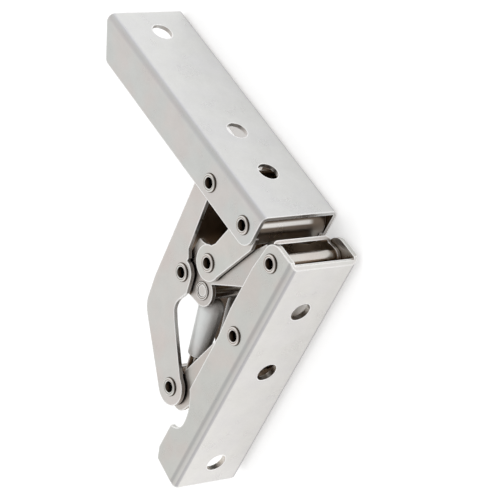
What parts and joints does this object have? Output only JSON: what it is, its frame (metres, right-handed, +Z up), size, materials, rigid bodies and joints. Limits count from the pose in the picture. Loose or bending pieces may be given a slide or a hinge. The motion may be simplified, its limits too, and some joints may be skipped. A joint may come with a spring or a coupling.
{
  "type": "spring hinge",
  "caption": "Concealed cabinet spring hinge with channel-shaped arms, linked by riveted steel links and a sprung lever; swings open and snaps shut.",
  "frame": {"origin": "middle of the closed hinge's footprint as it lies on its side, on the surface it lies on", "axes": "+X along the moving arm, +Y along the fixed arm, +Z up along the rivets"},
  "size_m": [0.1076, 0.0948, 0.0292],
  "materials": {
    "fixed_arm_nickel": "satin nickel plating",
    "moving_arm_nickel": "satin nickel plating",
    "bent_link_nickel": "satin nickel plating",
    "lever_link_nickel": "satin nickel plating",
    "short_link_nickel": "satin nickel plating",
    "guide_link_nickel": "satin nickel plating",
    "rivet_nickel": "satin nickel plating",
    "cup_nickel": "satin nickel plating",
    "plunger_steel": "plain bright steel",
    "spring_steel": "plain bright steel",
    "tube_steel": "plain bright steel"
  },
  "bodies": {
    "fixed_arm": {"fixed_arm": "fixed_arm_nickel", "fixed_arm_inner_rivet": "rivet_nickel", "fixed_arm_inner_spacer": "tube_steel", "fixed_arm_outer_rivet": "rivet_nickel", "fixed_arm_outer_spacer": "tube_steel"},
    "lever": {"lever_link": "lever_link_nickel", "spring_pin": "rivet_nickel", "spring_pin_tube": "tube_steel"},
    "bent_link": {"bent_link": "bent_link_nickel", "lever_tip_rivet": "rivet_nickel", "lever_tip_spacer": "tube_steel", "guide_tip_rivet": "rivet_nickel", "guide_tip_spacer": "tube_steel"},
    "moving_arm": {"moving_arm": "moving_arm_nickel", "moving_arm_outer_rivet": "rivet_nickel", "moving_arm_outer_spacer": "tube_steel", "moving_arm_inner_rivet": "rivet_nickel", "moving_arm_inner_spacer": "tube_steel"},
    "short_link": {"short_link": "short_link_nickel", "short_link_rivet": "rivet_nickel", "short_link_spacer": "tube_steel"},
    "guide_link": {"guide_link": "guide_link_nickel"},
    "spring_cups": {"near_spring_cup": "cup_nickel", "far_spring_cup": "cup_nickel", "near_coil_spring": "spring_steel", "far_coil_spring": "spring_steel"},
    "plungers": {"near_spring_plunger": "plunger_steel", "far_spring_plunger": "plunger_steel"}
  },
  "joints": [
    {"name": "lever_turn", "type": "hinge", "parent": "fixed_arm", "child": "lever", "pos_m": [-0.0459, -0.03818, 0.0146], "axis": [0, 0, -1], "range_deg": [0, 109.94], "stiffness_Nm_per_rad": 0.2, "springref_deg": -22.92},
    {"name": "bent_turn", "type": "hinge", "parent": "lever", "child": "bent_link", "pos_m": [-0.01795, -0.00814, 0.0146], "axis": [0, 0, -1], "range_deg": [-79.83, 0]},
    {"name": "moving_turn", "type": "hinge", "parent": "bent_link", "child": "moving_arm", "pos_m": [-0.01297, -0.03919, 0.0146], "axis": [0, 0, -1], "range_deg": [0, 59.9]},
    {"name": "short_turn", "type": "hinge", "parent": "moving_arm", "child": "short_link", "pos_m": [-0.03142, -0.03972, 0.0146], "axis": [0, 0, -1], "range_deg": [-95.33, 0]},
    {"name": "guide_turn", "type": "hinge", "parent": "bent_link", "child": "guide_link", "pos_m": [-0.03449, 0.02325, 0.0146], "axis": [0, 0, -1], "range_deg": [0, 93.71]},
    {"name": "spring_turn", "type": "hinge", "parent": "lever", "child": "spring_cups", "pos_m": [-0.02675, -0.00885, 0.0146], "axis": [0, 0, -1], "range_deg": [-98.29, 0]},
    {"name": "spring_slide", "type": "slide", "parent": "spring_cups", "child": "plungers", "axis": [-0.2344, 0.9721, 0], "range_m": [-0.00607, 0], "deforming": ["near_coil_spring", "far_coil_spring"]}
  ],
  "couplings": [
    {"joint": "bent_turn", "follows": "lever_turn", "ratio": -0.72612},
    {"joint": "moving_turn", "follows": "lever_turn", "ratio": 0.54483},
    {"joint": "short_turn", "follows": "lever_turn", "ratio": -0.8671},
    {"joint": "guide_turn", "follows": "lever_turn", "ratio": 0.85237},
    {"joint": "spring_turn", "follows": "lever_turn", "ratio": -0.894},
    {"joint": "spring_slide", "follows": "lever_turn", "m_per_rad": -0.0031622}
  ]
}
